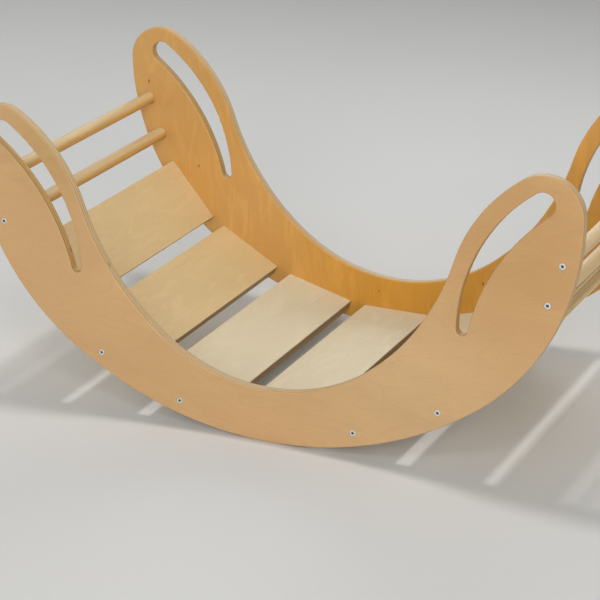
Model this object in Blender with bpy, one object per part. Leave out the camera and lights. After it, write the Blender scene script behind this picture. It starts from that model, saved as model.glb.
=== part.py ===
"""Wooden balance rocker: two crescent plywood side panels joined by seven flat slats and four round rungs.

Frame: +X along the rocker, +Y from the front panel to the rear one, +Z up.
The origin is under the middle of the rocker, on the floor that it rocks on.
Each side panel's outline is a chain of tangent arcs, worked out for its right half and mirrored:
the rocking arc, the side arc, the round tip, the handle arc, the flank and the cradle arc.
Slats and rungs sit in blind pockets milled into the panels' inner faces, at stations measured along
the outer edge, and furniture screws go through the panels into their ends.
"""
import math

import bmesh
import bpy
from mathutils import Matrix, Vector

# Overall sizes, in metres
OVERALL_LENGTH = 1.000
OVERALL_HEIGHT = 0.484
OVERALL_WIDTH = 0.511

# Side panel: birch plywood, with a small round-over on every outer edge
PANEL_THICKNESS = 0.015
EDGE_ROUNDING = 0.002
ROUNDING_STEPS = 2

# Outline of the side panel. Angles are the heading of the edge, in degrees: 0 runs along +X,
# and the path turns anticlockwise from the lowest point up round the tip
ROCKING_RADIUS = 0.580
ROCKING_ANGLE = 36.1
TIP_RADIUS = 0.0573
HANDLE_START_ANGLE = 213.3
HANDLE_RADIUS = 0.256
CRADLE_HEIGHT = 0.0863
CRADLE_RADIUS = 0.284
CRADLE_ANGLE = 38.9

# Hand slot: a curved teardrop between a wide round end near the tip and a narrow one below the handle
SLOT_TIP_RADIUS = 0.018
SLOT_TIP_WALL = 0.0244
SLOT_TIP_ANGLE = 188.5
SLOT_TAIL_RADIUS = 0.0087
SLOT_TAIL_WALL = 0.0445
SLOT_TAIL_DISTANCE = 0.0826
SLOT_UPPER_RADIUS = 0.275
SLOT_LOWER_RADIUS = 0.3326

# Slats, numbered from the left end. The screws lie a little below the middle of their thickness
SLAT_COUNT = 7
SLAT_WIDTH = 0.121
SLAT_THICKNESS = 0.018
SLAT_GAP = 0.034
SLAT_EDGE_WALL = 0.0147
SLAT_ROUNDING = 0.001
SLAT_ROUNDING_STEPS = 2
SLAT_SCREW_RISE = 0.0071
SCREWED_SLATS = (2, 3, 5, 6)

# Rungs: two beech dowels beyond the last slat at each end
RUNG_DIAMETER = 0.0215
LOWER_RUNG_GAP = 0.0505
UPPER_RUNG_GAP = 0.0481
LOWER_RUNG_WALL = 0.0156
UPPER_RUNG_WALL = 0.0128
RUNG_CHAMFER = 0.001
RUNG_SIDES = 24

# Joinery. A screw's depths are measured from the face of its head: to the end of the head's straight
# edge, and to the end of its cone
POCKET_DEPTH = 0.005
FIT_CLEARANCE = 0.0003
SCREW_LENGTH = 0.050
SCREW_HEAD_DIAMETER = 0.010
SCREW_HEAD_EDGE = 0.0004
SCREW_HEAD_CONE = 0.0025
SCREW_SHANK_DIAMETER = 0.007
SCREW_CORE_DIAMETER = 0.005
SCREW_POINT = 0.002
SCREW_RECESS = 0.0003
SOCKET_WIDTH = 0.004
SOCKET_DEPTH = 0.0028
PILOT_EXTRA_DEPTH = 0.001
SCREW_SIDES = 14

# Facets: the furthest that a chord may lie from its arc, and how far a cutter reaches past a face
ARC_TOLERANCE = 0.0002
CUTTER_REACH = 0.002

# Edges where faces meet at more than this many degrees are shaded sharp
SHARP_ANGLE = 50

BIRCH_PLY = ("birch_plywood", "C69C6C", 0.0, 0.55)
BIRCH_SLAT = ("birch_slat", "D1BD98", 0.0, 0.55)
BEECH_RUNG = ("beech_rung", "CDAA78", 0.0, 0.5)
ZINC_STEEL = ("zinc_plated_steel", "D0D8DA", 1.0, 0.35)

INNER_FACE = OVERALL_WIDTH / 2 - PANEL_THICKNESS
POCKET_FLOOR = INNER_FACE + POCKET_DEPTH
BAR_LENGTH = 2 * (POCKET_FLOOR - FIT_CLEARANCE)


def direction(degrees):
    """Unit vector in the panel's plane, at an angle from +X."""
    return Vector((math.cos(math.radians(degrees)), math.sin(math.radians(degrees))))


def outward(heading):
    """Normal on the right of an edge that runs at a heading: out of the wood on the outer edge."""
    return direction(heading - 90)


def facet_count(radius, sweep):
    """How many chords an arc needs to stay within the tolerance."""
    step = 2 * math.degrees(math.acos(1 - ARC_TOLERANCE / radius))
    return max(2, math.ceil(abs(sweep) / step))


def arc(centre, radius, start, end, bulge=1):
    """Points and outward normals along an arc, from one heading to another.

    bulge is 1 where the wood is inside the arc, and -1 where the arc is hollow.
    """
    count = facet_count(radius, end - start)
    stretch = []
    for index in range(count + 1):
        normal = outward(start + (end - start) * index / count)
        stretch.append((centre + bulge * radius * normal, normal))
    return stretch


class Outline:
    """The right half of the side panel's outline, as tangent arcs."""

    def __init__(self):
        steps = facet_count(ROCKING_RADIUS, ROCKING_ANGLE)
        self.rocking_step = ROCKING_ANGLE / (steps + 0.5)
        self.rocking_steps = steps
        half_facet = math.radians(self.rocking_step / 2)
        self.rocking_centre = Vector((0, ROCKING_RADIUS * math.cos(half_facet)))
        self.tip_centre = Vector((OVERALL_LENGTH / 2 - TIP_RADIUS, OVERALL_HEIGHT - TIP_RADIUS))

        # The side arc leaves the rocking arc at its end and runs into the tip's circle from outside
        normal = outward(ROCKING_ANGLE)
        rocking_end = self.rocking_centre + ROCKING_RADIUS * normal
        offset = rocking_end - self.tip_centre
        reach = TIP_RADIUS ** 2 - offset.length_squared
        self.side_radius = reach / (2 * (TIP_RADIUS - offset.dot(normal)))
        self.side_centre = rocking_end - self.side_radius * normal
        to_tip = self.tip_centre - self.side_centre
        self.side_end = math.degrees(math.atan2(to_tip.y, to_tip.x)) + 90

        # The handle arc leaves the tip's circle, and the flank joins it to the cradle arc
        self.handle_centre = self.tip_centre - (HANDLE_RADIUS - TIP_RADIUS) * outward(HANDLE_START_ANGLE)
        self.cradle_centre = Vector((0, CRADLE_HEIGHT + CRADLE_RADIUS))
        self.cradle_end = 180 + CRADLE_ANGLE
        normal = outward(self.cradle_end)
        cradle_end = self.cradle_centre - CRADLE_RADIUS * normal
        offset = cradle_end - self.handle_centre
        reach = offset.length_squared - HANDLE_RADIUS ** 2
        self.flank_radius = reach / (2 * (HANDLE_RADIUS - offset.dot(normal)))
        self.flank_centre = cradle_end + self.flank_radius * normal
        to_handle = self.handle_centre - self.flank_centre
        self.handle_end = math.degrees(math.atan2(to_handle.y, to_handle.x)) + 270

    def half(self):
        """Points and normals from the lowest facet round the tip to the middle of the cradle."""
        rocking = []
        for index in range(self.rocking_steps):
            normal = outward(self.rocking_step * (index + 0.5))
            rocking.append((self.rocking_centre + ROCKING_RADIUS * normal, normal))
        side = arc(self.side_centre, self.side_radius, ROCKING_ANGLE, self.side_end)
        tip = arc(self.tip_centre, TIP_RADIUS, self.side_end, HANDLE_START_ANGLE)
        handle = arc(self.handle_centre, HANDLE_RADIUS, HANDLE_START_ANGLE, self.handle_end)
        flank = arc(self.flank_centre, self.flank_radius, self.handle_end, self.cradle_end, -1)
        cradle = arc(self.cradle_centre, CRADLE_RADIUS, self.cradle_end, 180, -1)
        return rocking + side + tip[1:] + handle[1:] + flank[1:] + cradle[1:]

    def loop(self):
        """The whole outline, anticlockwise."""
        half = self.half()
        return half + mirrored(half[:-1])

    def outer_station(self, distance):
        """Point and heading at a distance along the outer edge from the lowest point."""
        rocking_length = ROCKING_RADIUS * math.radians(ROCKING_ANGLE)
        side_length = self.side_radius * math.radians(self.side_end - ROCKING_ANGLE)
        if distance <= rocking_length:
            heading = math.degrees(distance / ROCKING_RADIUS)
            return self.rocking_centre + ROCKING_RADIUS * outward(heading), heading
        distance -= rocking_length
        if distance <= side_length:
            heading = ROCKING_ANGLE + math.degrees(distance / self.side_radius)
            return self.side_centre + self.side_radius * outward(heading), heading
        heading = self.side_end + math.degrees((distance - side_length) / TIP_RADIUS)
        return self.tip_centre + TIP_RADIUS * outward(heading), heading

    def seat(self, distance, inset):
        """Point set in from the outer edge, square to it, and the edge's heading there."""
        point, heading = self.outer_station(distance)
        return point - inset * outward(heading), heading


def mirrored(stretch):
    """The same points and normals on the left, in reverse order, so that a loop keeps its sense."""
    return [(Vector((-p.x, p.y)), Vector((-n.x, n.y))) for p, n in reversed(stretch)]


def circle_crossing(first, first_radius, second, second_radius):
    """The crossing of two circles that lies on the right of the line from the first to the second."""
    line = second - first
    along = (first_radius ** 2 - second_radius ** 2 + line.length_squared) / (2 * line.length)
    across = math.sqrt(max(first_radius ** 2 - along ** 2, 0))
    line.normalize()
    return first + along * line + across * Vector((line.y, -line.x))


def bearing(centre, point):
    """Angle of a point seen from a centre, in degrees from 0 to 360."""
    return math.degrees(math.atan2(point.y - centre.y, point.x - centre.x)) % 360


def hand_slot(outline):
    """The right hand slot's loop, with normals that point out of the wood, into the slot."""
    tip_inset = SLOT_TIP_WALL + SLOT_TIP_RADIUS
    tip = outline.tip_centre + (TIP_RADIUS - tip_inset) * outward(SLOT_TIP_ANGLE)
    tail_heading = outline.handle_end - math.degrees(SLOT_TAIL_DISTANCE / outline.flank_radius)
    tail_reach = outline.flank_radius + SLOT_TAIL_WALL + SLOT_TAIL_RADIUS
    tail = outline.flank_centre - tail_reach * outward(tail_heading)

    # Both long edges are arcs that touch the two round ends, and bulge towards the handle
    upper_reach = (SLOT_UPPER_RADIUS - SLOT_TAIL_RADIUS, SLOT_UPPER_RADIUS - SLOT_TIP_RADIUS)
    lower_reach = (SLOT_LOWER_RADIUS + SLOT_TAIL_RADIUS, SLOT_LOWER_RADIUS + SLOT_TIP_RADIUS)
    upper = circle_crossing(tail, upper_reach[0], tip, upper_reach[1])
    lower = circle_crossing(tail, lower_reach[0], tip, lower_reach[1])
    upper_start = bearing(upper, tip)
    upper_end = bearing(upper, tail)
    lower_start = bearing(lower, tail)
    lower_end = bearing(lower, tip)
    loop = bored(upper, SLOT_UPPER_RADIUS, upper_start, upper_end)
    loop += bored(tail, SLOT_TAIL_RADIUS, upper_end, lower_start + 180)[1:]
    loop += [(p, -n) for p, n in bored(lower, SLOT_LOWER_RADIUS, lower_start, lower_end)[1:]]
    loop += bored(tip, SLOT_TIP_RADIUS, lower_end - 180, upper_start)[1:-1]
    return loop


def bored(centre, radius, start, end):
    """Arc between two bearings, with normals towards its centre."""
    count = facet_count(radius, end - start)
    stretch = []
    for index in range(count + 1):
        ray = direction(start + (end - start) * index / count)
        stretch.append((centre + radius * ray, -ray))
    return stretch


def new_object(name, mesh, material):
    """Object with a mesh and a material, linked to the scene."""
    part = bpy.data.objects.new(name, mesh)
    bpy.context.scene.collection.objects.link(part)
    if material is not None and not mesh.materials:
        mesh.materials.append(material)
    return part


def finished_mesh(name, shape):
    """Mesh from a bmesh whose faces are turned outward; frees the bmesh."""
    bmesh.ops.recalc_face_normals(shape, faces=shape.faces)
    mesh = bpy.data.meshes.new(name)
    shape.to_mesh(mesh)
    shape.free()
    return mesh


def shade_round(mesh):
    """Smooth shading, with the steep edges sharp."""
    mesh.shade_smooth()
    mesh.set_sharp_from_angle(angle=math.radians(SHARP_ANGLE))


def ring(shape, points):
    """Closed ring of vertices and edges."""
    verts = [shape.verts.new(point) for point in points]
    for index, vert in enumerate(verts):
        shape.edges.new((vert, verts[(index + 1) % len(verts)]))
    return verts


def bridge(shape, first, second):
    """Quads between two rings of the same count."""
    count = len(first)
    for index in range(count):
        after = (index + 1) % count
        shape.faces.new((first[index], first[after], second[after], second[index]))


def ring_edges(shape, verts):
    """The edges round a ring."""
    return [shape.edges.get((vert, verts[(i + 1) % len(verts)])) for i, vert in enumerate(verts)]


def rounded_plate(name, loops, outer_y, inner_y):
    """Plate between two faces square to Y, with every loop's edges rounded over."""
    shape = bmesh.new()
    inward = math.copysign(1, inner_y - outer_y)
    sections = []
    for step in range(ROUNDING_STEPS + 1):
        angle = math.radians(90 * (1 - step / ROUNDING_STEPS))
        inset = EDGE_ROUNDING * (1 - math.cos(angle))
        depth = EDGE_ROUNDING * (1 - math.sin(angle))
        sections.append((inset, outer_y + inward * depth))
    sections += [(inset, inner_y - (height - outer_y)) for inset, height in reversed(sections)]
    outer_rims = []
    inner_rims = []
    for loop in loops:
        rings = []
        for inset, height in sections:
            flat = [point - inset * normal for point, normal in loop]
            rings.append(ring(shape, [(p.x, height, p.y) for p in flat]))
        for first, second in zip(rings, rings[1:]):
            bridge(shape, first, second)
        outer_rims += ring_edges(shape, rings[0])
        inner_rims += ring_edges(shape, rings[-1])
    for rims in (outer_rims, inner_rims):
        bmesh.ops.triangle_fill(shape, use_beauty=True, edges=rims)
    mesh = finished_mesh(name, shape)
    shade_round(mesh)
    return mesh


def bar_section(width, thickness, rounding, steps):
    """Rounded rectangle in X and Z, centred on the origin."""
    points = []
    corners = ((1, 1, 0), (-1, 1, 90), (-1, -1, 180), (1, -1, 270))
    for side, top, start in corners:
        centre = Vector((side * (width / 2 - rounding), top * (thickness / 2 - rounding)))
        for step in range(steps + 1):
            points.append(centre + rounding * direction(start + 90 * step / steps))
    return points


def extruded(shape, section, start_y, end_y, matrix):
    """Prism of a section in X and Z between two heights along Y, added to a bmesh."""
    near = ring(shape, [matrix @ Vector((p.x, start_y, p.y)) for p in section])
    far = ring(shape, [matrix @ Vector((p.x, end_y, p.y)) for p in section])
    bridge(shape, near, far)
    shape.faces.new(near)
    shape.faces.new(far)


def turned(shape, profile, sides, matrix, open_start=False):
    """Solid of revolution about Y from (radius, y) pairs, added to a bmesh; returns its rings."""
    rings = []
    for radius, height in profile:
        rays = [direction(360 * index / sides) * radius for index in range(sides)]
        rings.append(ring(shape, [matrix @ Vector((ray.x, height, ray.y)) for ray in rays]))
    for first, second in zip(rings, rings[1:]):
        bridge(shape, first, second)
    if not open_start:
        shape.faces.new(rings[0])
    shape.faces.new(rings[-1])
    return rings


def placed(point, heading=0.0):
    """Matrix that carries a piece drawn about the Y axis to its place in the panel's plane."""
    return Matrix.Translation((point.x, 0, point.y)) @ Matrix.Rotation(math.radians(-heading), 4, "Y")


def slat_seats(outline, inset):
    """Slat number to its point at an inset from the outer edge, and its heading, for the whole row."""
    seats = {}
    for number in range(1, SLAT_COUNT + 1):
        steps = number - (SLAT_COUNT + 1) / 2
        point, heading = outline.seat(abs(steps) * (SLAT_WIDTH + SLAT_GAP), inset)
        sign = -1 if steps < 0 else 1
        seats[number] = (Vector((sign * point.x, point.y)), sign * heading)
    return seats


def rung_seats(outline):
    """Rung name to its axis in the panel's plane."""
    last_slat = (SLAT_COUNT - 1) / 2 * (SLAT_WIDTH + SLAT_GAP)
    lower = last_slat + SLAT_WIDTH / 2 + LOWER_RUNG_GAP + RUNG_DIAMETER / 2
    upper = lower + RUNG_DIAMETER + UPPER_RUNG_GAP
    lower_point, _ = outline.seat(lower, LOWER_RUNG_WALL + RUNG_DIAMETER / 2)
    upper_point, _ = outline.seat(upper, UPPER_RUNG_WALL + RUNG_DIAMETER / 2)
    seats = {}
    for side, sign in (("left", -1), ("right", 1)):
        seats[f"rung_{side}_upper"] = Vector((sign * upper_point.x, upper_point.y))
        seats[f"rung_{side}_lower"] = Vector((sign * lower_point.x, lower_point.y))
    return seats


def screw_profile(grow):
    """Screw's (radius, depth from its head's face) pairs, grown all round by a clearance."""
    head = SCREW_HEAD_DIAMETER / 2 + grow
    shank = SCREW_SHANK_DIAMETER / 2 + grow
    shank_end = PANEL_THICKNESS - POCKET_DEPTH - SCREW_RECESS
    return [(head, 0.0), (head, SCREW_HEAD_EDGE), (shank, SCREW_HEAD_CONE), (shank, shank_end)]


def panel_cutters(name, side, outline, slats, rungs, screw_points):
    """The panel's two cutters: its blind pockets, and its countersunk screw holes."""
    pockets = bmesh.new()
    start = side * POCKET_FLOOR
    end = side * (INNER_FACE - CUTTER_REACH)
    width = SLAT_WIDTH + 2 * FIT_CLEARANCE
    thickness = SLAT_THICKNESS + 2 * FIT_CLEARANCE
    section = bar_section(width, thickness, SLAT_ROUNDING + FIT_CLEARANCE, SLAT_ROUNDING_STEPS)
    for point, heading in slats.values():
        extruded(pockets, section, start, end, placed(point, heading))
    radius = RUNG_DIAMETER / 2 + FIT_CLEARANCE
    for point in rungs.values():
        turned(pockets, [(radius, start), (radius, end)], RUNG_SIDES, placed(point))

    holes = bmesh.new()
    face = side * (OVERALL_WIDTH / 2 - SCREW_RECESS)
    profile = screw_profile(FIT_CLEARANCE)
    reach = [(profile[0][0], -SCREW_RECESS - CUTTER_REACH)] + profile[1:-1]
    reach.append((profile[-1][0], profile[-1][1] + CUTTER_REACH))
    for point in screw_points:
        turned(holes, [(r, face - side * depth) for r, depth in reach], SCREW_SIDES, placed(point))

    cutters = []
    for suffix, shape in (("pockets", pockets), ("screw_holes", holes)):
        cutters.append(cutter(f"{name}_{suffix}", shape))
    return cutters


def cutter(name, shape):
    """Wire object, left out of renders, that a Boolean takes away."""
    tool = new_object(name, finished_mesh(name, shape), None)
    tool.hide_render = True
    tool.display_type = "WIRE"
    return tool


def cut(part, tool):
    """Take a cutter away from a part."""
    boolean = part.modifiers.new(tool.name, "BOOLEAN")
    boolean.operation = "DIFFERENCE"
    boolean.solver = "EXACT"
    boolean.object = tool


def make_panels(outline, slats, rungs, screw_points, material):
    """Front and rear side panels, mirror images of each other."""
    slot = hand_slot(outline)
    loops = [outline.loop(), slot, mirrored(slot)]
    for name, side in (("side_panel_front", -1), ("side_panel_rear", 1)):
        mesh = rounded_plate(name, loops, side * OVERALL_WIDTH / 2, side * INNER_FACE)
        panel = new_object(name, mesh, material)
        for tool in panel_cutters(name, side, outline, slats, rungs, screw_points):
            cut(panel, tool)


def pilot_holes(name, matrix):
    """Cutter for the two blind holes in the ends of a slat or a rung."""
    shape = bmesh.new()
    radius = SCREW_CORE_DIAMETER / 2 + FIT_CLEARANCE
    depth = SCREW_LENGTH + SCREW_RECESS + PILOT_EXTRA_DEPTH
    for side in (-1, 1):
        start = side * (BAR_LENGTH / 2 + CUTTER_REACH)
        end = side * (OVERALL_WIDTH / 2 - depth)
        turned(shape, [(radius, start), (radius, end)], SCREW_SIDES, matrix)
    return cutter(f"{name}_pilots", shape)


def make_slats(slats, screws, material):
    """The row of flat slats. Those that are screwed have a pilot hole in each end."""
    section = bar_section(SLAT_WIDTH, SLAT_THICKNESS, SLAT_ROUNDING, SLAT_ROUNDING_STEPS)
    for number, (point, heading) in slats.items():
        shape = bmesh.new()
        extruded(shape, section, -BAR_LENGTH / 2, BAR_LENGTH / 2, Matrix.Identity(4))
        name = f"slat_{number}"
        mesh = finished_mesh(name, shape)
        shade_round(mesh)
        slat = new_object(name, mesh, material)
        slat.matrix_world = placed(point, heading)
        if number in SCREWED_SLATS:
            cut(slat, pilot_holes(name, placed(screws[number][0], heading)))


def make_rungs(rungs, material):
    """Round rungs with chamfered ends, screwed at both."""
    radius = RUNG_DIAMETER / 2
    half = BAR_LENGTH / 2
    profile = [(radius - RUNG_CHAMFER, -half), (radius, RUNG_CHAMFER - half)]
    profile += [(radius, half - RUNG_CHAMFER), (radius - RUNG_CHAMFER, half)]
    for name, point in rungs.items():
        shape = bmesh.new()
        turned(shape, profile, RUNG_SIDES, Matrix.Identity(4))
        mesh = finished_mesh(name, shape)
        shade_round(mesh)
        rung = new_object(name, mesh, material)
        rung.matrix_world = placed(point)
        cut(rung, pilot_holes(name, placed(point)))


def screw_mesh():
    """Furniture screw about Y, its head's face at 0 and its point at +Y, with a hexagon socket."""
    shape = bmesh.new()
    core = SCREW_CORE_DIAMETER / 2
    profile = screw_profile(0.0)
    profile += [(core, profile[-1][1] + FIT_CLEARANCE), (core, SCREW_LENGTH - SCREW_POINT)]
    profile.append((core / 3, SCREW_LENGTH))
    rings = turned(shape, profile, SCREW_SIDES, Matrix.Identity(4), open_start=True)
    corner = SOCKET_WIDTH / math.sqrt(3)
    corners = [direction(60 * index) * corner for index in range(6)]
    mouth = ring(shape, [(p.x, 0.0, p.y) for p in corners])
    bottom = ring(shape, [(p.x, SOCKET_DEPTH, p.y) for p in corners])
    bridge(shape, mouth, bottom)
    shape.faces.new(bottom)
    face = ring_edges(shape, rings[0]) + ring_edges(shape, mouth)
    bmesh.ops.triangle_fill(shape, use_beauty=True, edges=face)
    mesh = finished_mesh("furniture_screw", shape)
    shade_round(mesh)
    return mesh


def make_screws(screw_points, material):
    """One screw at every screwed slat and rung, in both panels, numbered from the left."""
    mesh = screw_mesh()
    for name, side in (("front", -1), ("rear", 1)):
        turn = Matrix.Rotation(math.pi if side == 1 else 0.0, 4, "Z")
        for index, point in enumerate(screw_points, start=1):
            screw = new_object(f"screw_{name}_{index}", mesh, material)
            head_y = side * (OVERALL_WIDTH / 2 - SCREW_RECESS)
            screw.matrix_world = Matrix.Translation((point.x, head_y, point.y)) @ turn


def linear(channel):
    """One sRGB channel, from 0 to 1, as a linear value."""
    if channel <= 0.04045:
        return channel / 12.92
    return ((channel + 0.055) / 1.055) ** 2.4


def make_material(description):
    """Principled material from a name, an sRGB hex colour, a metallic value and a roughness."""
    name, colour, metallic, roughness = description
    material = bpy.data.materials.new(name)
    material.use_nodes = True
    shader = material.node_tree.nodes["Principled BSDF"]
    channels = [int(colour[start:start + 2], 16) / 255 for start in (0, 2, 4)]
    shader.inputs["Base Color"].default_value = (*[linear(channel) for channel in channels], 1.0)
    shader.inputs["Metallic"].default_value = metallic
    shader.inputs["Roughness"].default_value = roughness
    return material


def main():
    for old in list(bpy.data.objects):
        bpy.data.objects.remove(old, do_unlink=True)
    outline = Outline()
    slats = slat_seats(outline, SLAT_EDGE_WALL + SLAT_THICKNESS / 2)
    slat_screws = slat_seats(outline, SLAT_EDGE_WALL + SLAT_SCREW_RISE)
    rungs = rung_seats(outline)
    screwed = [slat_screws[number][0] for number in SCREWED_SLATS] + list(rungs.values())
    screw_points = sorted(screwed, key=lambda point: (round(point.x, 4), point.y))
    make_panels(outline, slats, rungs, screw_points, make_material(BIRCH_PLY))
    make_slats(slats, slat_screws, make_material(BIRCH_SLAT))
    make_rungs(rungs, make_material(BEECH_RUNG))
    make_screws(screw_points, make_material(ZINC_STEEL))


main()
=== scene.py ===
"""Wooden balance rocker, dressed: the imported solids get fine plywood, beech and steel surfaces.

Every piece of the rocker is a closed path in the plane of the side panels, in X and Z, carried along Y by
an edge profile: a panel's path is its outline, a slat's is its section, a rung's and a screw's a circle.
"""
import math

import bmesh
import bpy
import numpy as np
from bpy.props import FloatProperty, FloatVectorProperty, IntProperty, PointerProperty
from mathutils import Matrix, Vector
from mathutils.geometry import delaunay_2d_cdt


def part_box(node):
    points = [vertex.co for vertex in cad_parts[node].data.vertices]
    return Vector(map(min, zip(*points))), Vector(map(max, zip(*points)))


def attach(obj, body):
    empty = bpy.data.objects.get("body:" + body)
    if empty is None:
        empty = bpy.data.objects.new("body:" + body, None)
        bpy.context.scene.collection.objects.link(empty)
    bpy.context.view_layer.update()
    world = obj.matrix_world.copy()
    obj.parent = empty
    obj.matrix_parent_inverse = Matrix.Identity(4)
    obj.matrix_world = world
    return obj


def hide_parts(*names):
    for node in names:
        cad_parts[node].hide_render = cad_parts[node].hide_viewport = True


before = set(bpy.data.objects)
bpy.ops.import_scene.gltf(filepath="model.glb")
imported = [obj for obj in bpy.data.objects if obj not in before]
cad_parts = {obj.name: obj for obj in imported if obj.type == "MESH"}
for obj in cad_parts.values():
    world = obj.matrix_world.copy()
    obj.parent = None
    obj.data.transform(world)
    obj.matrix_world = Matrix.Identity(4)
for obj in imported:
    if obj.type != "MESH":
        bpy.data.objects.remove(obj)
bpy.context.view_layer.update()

bl_info = {
    "name": "Wooden balance rocker",
    "version": (1, 0, 0),
    "blender": (4, 5, 0),
    "location": "3D View > Sidebar > Rocker",
    "description": "Builds the surfaces, finishes and studio of a plywood balance rocker",
    "category": "Add Mesh",
}

FRONT_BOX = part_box("side_panel_front")
REAR_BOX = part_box("side_panel_rear")
OVERALL_LENGTH = FRONT_BOX[1][0] - FRONT_BOX[0][0]
OVERALL_HEIGHT = FRONT_BOX[1][2] - FRONT_BOX[0][2]
OVERALL_WIDTH = REAR_BOX[1][1] - FRONT_BOX[0][1]
PANEL_THICKNESS = FRONT_BOX[1][1] - FRONT_BOX[0][1]

# Two surfaces that meet are welded where their points lie closer than this, in metres
WELD = 0.000002

# Edges that turn by more than this stay sharp, in degrees
SHARP_ANGLE = 35.0

# How finely round shapes are drawn: sides of round things, steps of a quarter turn
SCREW_SIDES = 32
RUNG_POCKET_SIDES = 48
RUNG_SIDES = 64
FLOOR_SIDES = 96
SCREW_RIM_STEPS = 3
PANEL_EDGE_STEPS = 5
SLAT_EDGE_STEPS = 6

# Millimetres in a metre, because the materials' patterns are in millimetres
MM = 1000.0


def length(name, description, default):
    """A size in metres that the sidebar shows."""
    return FloatProperty(name=name, description=description, default=default, min=0.0, precision=4,
                         unit="LENGTH")


def angle(name, description, degrees):
    """An angle that the sidebar shows in degrees."""
    return FloatProperty(name=name, description=description, default=math.radians(degrees), subtype="ANGLE")


def power(name, description, watts):
    """A lamp's power in watts."""
    return FloatProperty(name=name, description=description, default=watts, unit="POWER")


def colour(name, description, code):
    """A colour from its sRGB hex code."""
    return FloatVectorProperty(name=name, description=description, default=linear(code), size=3,
                               min=0.0, max=1.0, subtype="COLOR")


def linear(code):
    """The linear RGB of an sRGB hex code."""
    channels = [int(code[start:start + 2], 16) / 255 for start in (0, 2, 4)]
    return tuple(c / 12.92 if c <= 0.04045 else ((c + 0.055) / 1.055) ** 2.4 for c in channels)


class RockerPanelSizes(bpy.types.PropertyGroup):
    """Sizes of the two side panels' outline, as tangent arcs, and of their edges."""

    rocking_radius: length("Rocking radius", "Radius of the curve that the rocker rolls on", 0.580)
    rocking_angle: angle("Rocking angle", "Heading at which the rocking arc ends", 36.1)
    tip_radius: length("Tip radius", "Radius of the rounded tips", 0.0573)
    handle_start: angle("Handle start", "Heading at which the handle arc leaves the tip", 213.3)
    handle_radius: length("Handle radius", "Radius of the arc along the handle", 0.256)
    cradle_height: length("Cradle height", "Height of the cradle's lowest point", 0.0863)
    cradle_radius: length("Cradle radius", "Radius of the cradle arc", 0.284)
    cradle_angle: angle("Cradle angle", "Heading at which the cradle arc ends", 38.9)
    edge_rounding: length("Edge rounding", "Radius of the round-over on the panels' edges", 0.002)
    path_spacing: length("Path spacing", "Distance between points along the outline", 0.004)


class RockerSlotSizes(bpy.types.PropertyGroup):
    """Sizes of the curved hand slots."""

    tip_radius: length("Tip radius", "Radius of the slot's wide end", 0.018)
    tip_wall: length("Tip wall", "Wood between the slot's wide end and the panel's tip", 0.0244)
    tip_angle: angle("Tip angle", "Heading of the outline beside the slot's wide end", 188.5)
    tail_radius: length("Tail radius", "Radius of the slot's narrow end", 0.0087)
    tail_wall: length("Tail wall", "Wood between the slot's narrow end and the flank", 0.0445)
    tail_distance: length("Tail distance", "Distance of the narrow end along the flank", 0.0826)
    upper_radius: length("Upper radius", "Radius of the slot's upper edge", 0.275)
    lower_radius: length("Lower radius", "Radius of the slot's lower edge", 0.3326)


class RockerBarSizes(bpy.types.PropertyGroup):
    """Sizes of the slats and rungs, and of the pockets that hold them."""

    slat_count: IntProperty(name="Slats", description="Number of slats", default=7, min=1)
    slat_width: length("Slat width", "Width of a slat", 0.121)
    slat_thickness: length("Slat thickness", "Thickness of a slat", 0.018)
    slat_gap: length("Slat gap", "Gap between slats along the outer edge", 0.034)
    slat_edge_wall: length("Slat edge wall", "Wood between a slat and the panel's outer edge", 0.0147)
    slat_screw_rise: length("Slat screw rise", "Height of a slat's screws above its lower face", 0.0071)
    slat_rounding: length("Slat rounding", "Radius of the round-over on a slat's long edges", 0.001)
    rung_diameter: length("Rung diameter", "Diameter of a rung", 0.0215)
    lower_rung_gap: length("Lower rung gap", "Gap between the last slat and the lower rung", 0.0505)
    upper_rung_gap: length("Upper rung gap", "Gap between the two rungs", 0.0481)
    lower_rung_wall: length("Lower rung wall", "Wood between the lower rung and the outer edge", 0.0156)
    upper_rung_wall: length("Upper rung wall", "Wood between the upper rung and the outer edge", 0.0128)
    end_chamfer: length("End chamfer", "Chamfer on the ends of slats and rungs", 0.001)
    pocket_depth: length("Pocket depth", "Depth of the blind pockets in the panels' inner faces", 0.005)
    clearance: length("Clearance", "Gap round a slat, a rung or a screw in its pocket or hole", 0.0003)


class RockerScrewSizes(bpy.types.PropertyGroup):
    """Sizes of the furniture screws."""

    overall: length("Screw length", "Length of a screw from its head's face to its point", 0.050)
    head_diameter: length("Head diameter", "Diameter of the countersunk head", 0.010)
    head_edge: length("Head edge", "Depth of the head's straight edge", 0.0004)
    head_cone: length("Head cone", "Depth at which the head's cone meets the shank", 0.0025)
    shank_diameter: length("Shank diameter", "Diameter of the plain shank", 0.007)
    thread_diameter: length("Thread diameter", "Diameter over the thread's crests", 0.0068)
    core_diameter: length("Core diameter", "Diameter at the thread's roots", 0.005)
    thread_pitch: length("Thread pitch", "Distance between two turns of the thread", 0.003)
    point_length: length("Point length", "Length of the tapered point", 0.002)
    recess: length("Recess", "Depth of the head's face below the panel's face", 0.0003)
    socket_width: length("Socket width", "Width of the hexagon socket across its flats", 0.004)
    socket_depth: length("Socket depth", "Depth of the hexagon socket", 0.0028)
    rim_rounding: length("Rim rounding", "Radius of the head's and the socket's rims", 0.0003)


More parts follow.
